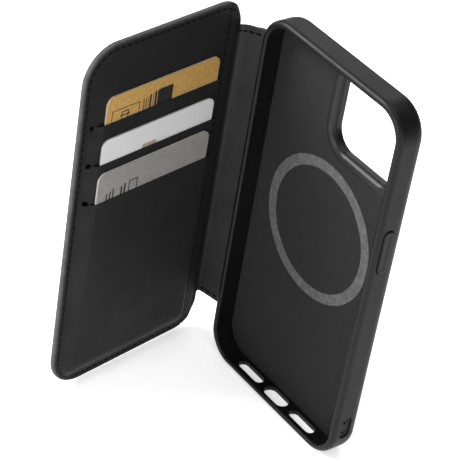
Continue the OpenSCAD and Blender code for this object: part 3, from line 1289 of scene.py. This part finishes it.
    def rear(self, tray: Tray) -> Object:
        """Makes the rear panel behind the tray and the spine's near half.

        Args:
            tray: the tray that the panel is glued to.

        Returns:
            The finished skin, which bends at the first fold.
        """
        work = Work("rear_skin")
        bm = work.bm
        side, top, radius = tray.width / 2 - 1.2, tray.height / 2 - 1.2, tray.corner - 1.2
        left, right = -self.path.first.x - side, -self.path.first.x + side
        near, far = self.path.first.x + side, self.path.first.x - side
        half, past = self.half(near), self.middle + 4
        end = self.half(past)
        corners = [(far, -top, radius), (near, -top, radius), (near, -half, 1.2), (past, -end, 0)]
        corners += [(past, end, 0), (near, half, 1.2), (near, top, radius), (far, top, radius)]
        slab = Slab(corners, -self.half_leather, self.half_leather, 0.3)
        upper, under = slab.build(bm)
        reach = 1.65
        x, z = self.path.first.x - tray.camera[0], tray.camera[1]
        hole = Outline.centred(x, z, tray.camera_size[0], tray.camera_size[1], tray.camera_corner)
        rings = [(-reach - inset, slab.low + 0.3 - rise) for inset, rise in reversed(quarter(0.3, 3))]
        rings += [(-reach - inset, slab.high - 0.3 + rise) for inset, rise in quarter(0.3, 3)]
        rings = [(rings[0][0] - 0.15, rings[0][1]), *rings, (rings[-1][0] - 0.15, rings[-1][1])]
        lower, higher = hole.sweep(bm, rings)
        for face, loop in ((under, lower), (upper, higher)):
            rim = list(face.edges)
            bmesh.ops.delete(bm, geom=[face], context="FACES_ONLY")
            fill(bm, rim + loop)
        work.tidy()
        slice_up(bm, [*steps(-3.6, 4.4, 0.4), 1.2, 1.5, 1.8])
        cut_off(bm, self.middle, keep_far=False)
        for vert in bm.verts:
            if vert.co.z > 0.05:
                rise = smooth((vert.co.x - 1.1) / 0.8) * (self.spine_layer - self.half_leather)
                vert.co.z += rise * min(1, vert.co.z / self.half_leather)
        self.path.fold(bm)
        made = work.finish(self.finishes.leather, crease=32)
        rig.blend(made, "shell", "spine", **self.path.ends(0, 2.7, 3.5))
        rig.replaces(made, "rear_leather")
        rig.slot(made, "outer_leather")
        return made

    def seam_loop(self, inset: float) -> list[Vector]:
        """Returns the points of the seam round the cover, at an inset from its outline."""
        bm = bmesh.new()
        slab = Slab(self.cover_corners(-20), 0, 1, 0.1)
        face = slab.face(bm)
        slab.inset(bm, face, inset)
        points = [v.co.copy() for v in face.verts]
        bm.free()
        start = min(range(len(points)), key=lambda i: (round(points[i].x), points[i].y))
        points = points[start:] + points[:start]
        return points

    def stitches(
        self,
        bm: BMesh,
        points: list[Vector],
        first: float,
        last: float,
        layer: Callable[[float], float],
        flip: bool,
    ) -> None:
        """Lays stitches along a line, with a gap between each and the next.

        Args:
            bm: the mesh to draw in.
            points: the line's points, as run and height.
            first: lowest run that a stitch may have.
            last: highest run that a stitch may have.
            layer: gives the layer of a stitch's middle at a run.
            flip: whether the stitches show on the low side of the skin.
        """
        lengths = [0.0]
        for a, b in zip(points, points[1:]):
            lengths.append(lengths[-1] + (b - a).length)
        count = round(lengths[-1] / self.pitch)
        for index in range(count):
            along = lengths[-1] * (index + 0.5) / count
            at = max(i for i, length in enumerate(lengths[:-1]) if length <= along)
            a, b = points[at], points[at + 1]
            spot = a.lerp(b, (along - lengths[at]) / max(lengths[at + 1] - lengths[at], 1e-6))
            if not first <= spot.x <= last:
                continue
            turn = math.atan2(b.y - a.y, b.x - a.x) + math.radians(-self.slant if flip else self.slant)
            made = bmesh.ops.create_uvsphere(bm, u_segments=8, v_segments=6, radius=1)["verts"]
            bmesh.ops.rotate(bm, cent=(0, 0, 0), matrix=Matrix.Rotation(math.pi / 2, 3, "Y"), verts=made)
            bmesh.ops.scale(bm, vec=self.stitch, verts=made)
            bmesh.ops.rotate(bm, cent=(0, 0, 0), matrix=Matrix.Rotation(turn, 3, "Z"), verts=made)
            bmesh.ops.translate(bm, vec=(spot.x, spot.y, layer(spot.x)), verts=made)

    def sewing(self) -> list[Object]:
        """Makes the stitches of cover and spine, inside and outside."""
        fold = self.path.spine
        inner = lambda run: self.layer(run) - self.sunk * (1 if run > fold + 3 else 0.55)
        outer = lambda run: -self.half_leather + 0.1
        pieces = []
        loop = self.seam_loop(self.seam)
        ends = (self.low + self.seam, self.high - self.seam)
        crease = [Vector((fold + self.crease_seam, height, 0)) for height in ends]
        cover = Work("cover_stitches")
        self.stitches(cover.bm, loop, fold - 3.8, fold + 90, inner, False)
        self.stitches(cover.bm, loop, fold - 3.8, fold + 90, outer, True)
        self.stitches(cover.bm, crease, fold, fold + 90, inner, False)
        self.stitches(cover.bm, crease, fold, fold + 90, outer, True)
        self.path.fold(cover.bm)
        made = cover.finish(self.finishes.thread, crease=80, weighted=False)
        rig.blend(made, "spine", "cover", **self.path.ends(1, 3.6, 2.0))
        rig.replaces(made, "cover_thread")
        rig.slot(made, "thread")
        pieces.append(made)
        spine = Work("spine_stitches")
        self.stitches(spine.bm, loop, 4.4, fold - 3.8, lambda run: self.spine_layer - 0.06, False)
        self.stitches(spine.bm, loop, 4.4, fold - 3.8, outer, True)
        self.path.fold(spine.bm)
        made = spine.finish(self.finishes.thread, crease=80, weighted=False)
        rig.ride(made, "spine")
        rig.replaces(made, "spine_thread")
        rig.slot(made, "thread")
        pieces.append(made)
        return pieces

    def build(self, tray: Tray) -> None:
        """Makes every piece of the folded leather."""
        self.rear(tray)
        self.cover()
        self.sewing()


# --------------------------------------------------------------------------- pockets


@dataclass
class Pockets:
    """The sheet over the cards, slit three times, swelling over the cards behind it, in mm."""

    finishes: Finishes
    folio: Folio
    column: float = 0.8
    row: float = 15.5 / 12
    first: float = 5.4
    columns: int = 84
    rows: int = 87
    corner: float = 11.9
    thickness: float = 0.3
    rise_each: float = 1.2
    ramp: Ring = (7.9, 10.0)
    far_ramp: Ring = (72.3, 64.6)
    step_aside: float = 1.2
    foot: float = -64.6
    slit_start: float = 8.0
    slit_gap: float = 0.05
    sunk: float = 0.04
    fade: float = 5.0

    @property
    def bottom(self) -> float:
        """Height of the sheet's lower border."""
        return self.folio.slits[0] - self.row * self.rows

    def opened(self, past: float) -> float:
        """Returns 1 along a slit and 0 past its ends."""
        return smooth((past - self.slit_start) / 1.5) * smooth((self.folio.slit_end - past) / 5.0)

    def swell(self, past: float, height: float, level: float) -> float:
        """Returns how far the sheet follows the cards: 0 at its border, 1 over them.

        Args:
            past: distance from the fold.
            height: height of the point.
            level: how many cards lie behind the sheet there; each lies farther from the fold.

        Returns:
            The share of the cards' full height.
        """
        aside = self.step_aside * (level - 1)
        near = smooth((past - self.ramp[0]) / (self.ramp[1] + aside - self.ramp[0]))
        far = smooth((self.far_ramp[0] - past) / (self.far_ramp[0] - self.far_ramp[1] - aside))
        return near * far * smooth((height - self.bottom) / (self.foot - self.bottom))

    def rise(self, past: float, height: float) -> float:
        """Returns the sheet's height over the cover's inner face.

        Args:
            past: distance from the fold.
            height: height of the point.

        Returns:
            The height in mm.
        """
        level = 0.0
        held = self.opened(past)
        for index, slit in enumerate(self.folio.slits):
            drop = slit - height
            if index == 0:
                level += max(held, smooth(drop / self.fade))
                continue
            sign = math.copysign(1, drop) if abs(drop) > 1e-3 else 0
            level += 0.5 + 0.5 * sign * max(held, smooth(abs(drop) / self.fade))
        return level * self.rise_each * self.swell(past, height, level)

    def round_corner(self, bm: BMesh) -> None:
        """Takes the faces off the sheet that would stand past the cover's lower free corner."""
        folio = self.folio
        core = Vector((folio.far - folio.free_round, folio.low + folio.free_round, 0))
        outside = []
        for face in bm.faces:
            away = face.calc_center_median() - core
            if away.x > 0 and away.y < 0 and away.length > self.corner:
                outside.append(face)
        bmesh.ops.delete(bm, geom=outside, context="FACES")

    def slit_cuts(self) -> Work:
        """Returns the cutter of the two lower slits."""
        folio = self.folio
        work = Work("slit cuts")
        for slit in folio.slits[1:]:
            ends = (folio.path.spine + self.slit_start, folio.path.spine + folio.slit_end)
            box = (ends[0], slit - self.slit_gap, ends[1], slit + self.slit_gap)
            cut = Outline(box, 0.5 * self.slit_gap, segments=2)
            work.take(cut.solid("slit", [(0, 0.9), (0, 7)]))
        return work

    def sheet(self) -> Object:
        """Makes the slit sheet.

        Returns:
            The finished sheet.
        """
        folio, fold = self.folio, self.folio.path.spine
        work = Work("pocket_panel")
        bm = work.bm
        bmesh.ops.create_grid(bm, x_segments=self.columns, y_segments=self.rows, size=0.5)
        size = (self.column * self.columns, self.row * self.rows)
        bmesh.ops.scale(bm, vec=(*size, 1), verts=bm.verts)
        centre = (self.first + size[0] / 2, folio.slits[0] - size[1] / 2, 0)
        bmesh.ops.translate(bm, vec=centre, verts=bm.verts)
        self.round_corner(bm)
        bmesh.ops.translate(bm, vec=(fold, 0, folio.cover_layer - self.sunk), verts=bm.verts)
        grown = bmesh.ops.extrude_face_region(bm, geom=list(bm.faces))["geom"]
        lower = [g for g in grown if isinstance(g, BMVert)]
        bmesh.ops.translate(bm, vec=(0, 0, -self.thickness), verts=lower)
        work.carve(self.slit_cuts())
        work.carve(folio.slit_holes())
        # Painted shade: the insides of the slit holes take the thread's black.
        folio.shade_holes_black(bm)
        for vert in bm.verts:
            vert.co.z += self.rise(vert.co.x - fold, vert.co.y)
        folio.path.fold(bm)
        # The thread material here is only the painted shade inside the slit holes.
        made = work.finish([self.finishes.inner, self.finishes.thread], crease=50, weighted=False)
        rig.ride(made, "cover")
        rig.replaces(made, "pocket_upper", "pocket_middle", "pocket_lower")
        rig.slot(made, "inner_leather")
        return made


# --------------------------------------------------------------------------- cards


@dataclass
class Card:
    """A bank-size card with a rounded edge and flat printed marks, in mm on the cover."""

    node: str
    face: Material
    rim: Material
    layer: float
    middle: float
    top: float
    slot: str
    width: float = 54.0
    length: float = 85.6
    thickness: float = 0.76
    corner: float = 3.18
    marks: list[Mark] = field(default_factory=list)
    lift: float = 0.02
    printed: float = 0.12

    def build(self, path: FoldPath) -> Object:
        """Makes the card with its marks.

        Args:
            path: the line that the cover follows.

        Returns:
            The finished card.
        """
        centre = (path.spine + self.middle, self.top - self.length / 2)
        outline = Outline.centred(*centre, self.width, self.length, self.corner, segments=8)
        low, high = self.layer, self.layer + self.thickness
        soft = 0.1
        rings = [(soft * 1.8, low), (soft, low), (soft * 0.3, low + soft * 0.3), (0, low + soft)]
        rings += [(0, high - soft), (soft * 0.3, high - soft * 0.3), (soft, high), (soft * 1.8, high)]
        work = outline.solid(self.node.replace("card_", "") + "_card", rings)
        for face in work.bm.faces:
            on_top = face.calc_center_median().z > high - self.printed
            face.material_index = 0 if on_top or abs(face.normal.z) > 0.99 else 1
        materials = [self.face, self.rim]
        for material, box, radius in self.marks:
            index = materials.index(material) if material in materials else len(materials)
            if index == len(materials):
                materials.append(material)
            left, bottom, right, top = box
            moved = (path.spine + left, bottom, path.spine + right, top)
            rings = [(0, high - 0.05), (0, high + self.lift * 0.6), (0.03, high + self.lift)]
            mark = Outline(moved, radius, segments=4).solid("mark", rings)
            for face in mark.bm.faces:
                face.material_index = index
            work.take(mark)
        path.fold(work.bm)
        made = work.finish(materials, crease=30)
        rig.ride(made, self.node)
        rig.replaces(made, self.node)
        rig.slot(made, self.slot)
        return made


@dataclass
class CardSet:
    """The three cards of the wallet."""

    finishes: Finishes
    path: FoldPath

    def frame_marks(self, ink: Material, box: Box, line: float) -> list[Mark]:
        """Returns the four thin bars of a drawn rectangle."""
        left, low, right, high = box
        near = 0.45 * line
        bars = [(left, low, left + line, high), (right - line, low, right, high)]
        bars += [(left, high - line, right, high), (left, low, right, low + line)]
        return [(ink, bar, near) for bar in bars]

    def gold(self) -> Card:
        """Returns the gold card: a drawn chip, a small sign in it, and a dark panel fading in bars."""
        done = self.finishes
        marks = self.frame_marks(done.ink, (48.7, 33.4, 61.8, 44.7), 0.32)
        marks += self.frame_marks(done.ink, (53.9, 38.2, 57.1, 43.3), 0.42)
        marks.append((done.ink, (53.1, 41.4, 57.9, 41.9), 0.2))
        marks.append((done.ink, (33.0, 26.0, 40.4, 46.6), 0.7))
        bars = ((40.7, 41.7), (42.1, 42.6), (43.2, 44.1), (44.5, 44.9), (45.5, 45.9), (46.4, 47.2))
        for index, (left, right) in enumerate(bars):
            ink = done.ink if index % 2 == 0 else done.umber
            marks.append((ink, (left, 26.6, right, 46.2 - 0.25 * index), 0.12))
        return Card("card_upper", done.gold, done.edge, 1.97, 37.3, 50.7, "card_gold", marks=marks)

    def silver(self) -> Card:
        """Returns the pale card with its contact pads."""
        done = self.finishes
        pads = []
        for i in range(3):
            for j in range(3):
                pads.append((39.3 + 2.35 * i, 17.6 + 3.0 * j, 41.3 + 2.35 * i, 20.3 + 3.0 * j))
        marks = [(done.contact, pad, 0.5) for pad in pads]
        return Card("card_middle", done.silver, done.edge, 3.17, 38.5, 34.3, "card_silver", marks=marks)

    def grey(self) -> Card:
        """Returns the grey card with a row of plain raised bars."""
        done = self.finishes
        marks = self.frame_marks(done.ink, (47.3, 8.4, 51.5, 13.8), 0.5)
        bars = [(53.0, 53.8, 13.4), (54.6, 55.4, 12.6), (58.7, 59.3, 13.2), (60.1, 60.7, 12.5)]
        for left, right, top in [*bars, (61.6, 62.2, 11.9)]:
            marks.append((done.ink, (left, 7.4, right, top), 0.2))
        return Card("card_lower", done.grey, done.edge, 4.37, 39.7, 21.3, "card_grey", marks=marks)

    def build(self) -> None:
        """Makes the three cards."""
        for card in (self.gold(), self.silver(), self.grey()):
            card.build(self.path)


# --------------------------------------------------------------------------- studio


def look_along(line: Vector) -> Matrix:
    """Returns the turn that points a camera or a light along a line."""
    return line.to_track_quat("-Z", "Y").to_matrix().to_4x4()


@dataclass
class Studio:
    """Pale floor, soft lights, and the camera, in metres and degrees."""

    aim: Vector = field(default_factory=lambda: Vector((-0.0080, -0.0313, 0.0057)))
    distance: float = 0.6877
    azimuth: float = 48.05
    elevation: float = 35.49
    roll: float = 10.0
    lens: float = 150.5
    glow: float = 0.5

    def camera(self) -> None:
        """Sets the camera at its distance from the aim, rolled a little."""
        azimuth, elevation = math.radians(self.azimuth), math.radians(self.elevation)
        level = math.cos(elevation)
        away = Vector((math.sin(azimuth) * level, -math.cos(azimuth) * level, math.sin(elevation)))
        data = bpy.data.cameras.new("camera")
        data.lens, data.sensor_width, data.clip_start = self.lens, 36, 0.05
        made = bpy.data.objects.new("camera", data)
        turn = look_along(-away) @ Matrix.Rotation(math.radians(self.roll), 4, "Z")
        made.matrix_world = Matrix.Translation(self.aim + away * self.distance) @ turn
        bpy.context.scene.collection.objects.link(made)
        bpy.context.scene.camera = made

    def light(self, name: str, place: Vector, size: float, power: float) -> None:
        """Adds a square soft light that points at the aim."""
        data = bpy.data.lights.new(name, "AREA")
        data.shape, data.size, data.energy = "SQUARE", size, power
        made = bpy.data.objects.new(name, data)
        made.matrix_world = Matrix.Translation(place) @ look_along(self.aim - place)
        bpy.context.scene.collection.objects.link(made)

    def surroundings(self) -> None:
        """Lays the floor and lights the case."""
        bm = bmesh.new()
        bmesh.ops.create_grid(bm, x_segments=1, y_segments=1, size=6)
        bmesh.ops.translate(bm, vec=(0, 0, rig.bounds()[0][2]), verts=bm.verts)
        mesh = bpy.data.meshes.new("floor")
        bm.to_mesh(mesh)
        bm.free()
        tree = Nodes.fresh("pale floor")
        mottle = tree.noise(tree.place(Vector((1, 1, 1))), 3)
        base = tree.ramp(mottle, NOISE, (1, 1, 1), (0.88, 0.9))
        rough = tree.span(mottle, 0.9, 0.95, (0, 1))
        normal = tree.bump([(mottle, 0.2, 0.0001)])
        fixed = {"Specular_IOR_Level": 0.0, "Emission_Strength": self.glow}
        mesh.materials.append(tree.shader(base, rough, normal, **fixed))
        floor = bpy.data.objects.new("floor", mesh)
        bpy.context.scene.collection.objects.link(floor)
        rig.stage(floor)
        world = bpy.data.worlds.new("studio")
        world.use_nodes = True
        sky = world.node_tree.nodes["Background"]
        sky.inputs["Color"].default_value = (1, 1, 1, 1)
        sky.inputs["Strength"].default_value = 0.13
        bpy.context.scene.world = world
        lamps = (
            ("overhead", (0.1, 0.1, 1.7), 1.4, 14),
            ("front left", (-0.75, -0.72, 0.68), 0.7, 28),
            ("back left", (-0.9, 0.8, 0.85), 0.9, 4.5),
            ("front", (0.25, -1.3, 0.45), 0.7, 9),
            ("right", (1.2, -0.15, 0.25), 0.6, 5),
        )
        for name, place, size, power in lamps:
            self.light(name, Vector(place), size, power)
        bpy.context.scene.view_settings.view_transform = "Standard"

    def build(self) -> None:
        """Sets up the studio."""
        self.camera()
        self.surroundings()


def main() -> None:
    """Builds the case, piece by piece, and the studio round it."""
    logging.basicConfig(level=logging.INFO, format="%(name)s: %(message)s")
    finishes = Finishes()
    finishes.dress_hidden()
    path = FoldPath.from_joints()
    tray = Tray(finishes)
    tray.build()
    folio = Folio(finishes, path)
    folio.build(tray)
    Pockets(finishes, folio).sheet()
    CardSet(finishes, path).build()
    Studio().build()
    boxes = {"cad": [list(corner) for corner in CAD_BOX], "visual": [list(corner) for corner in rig.bounds()]}
    with open(SIZE_FILE, "w") as out:
        json.dump(boxes, out)


if __name__ == "__main__":
    main()
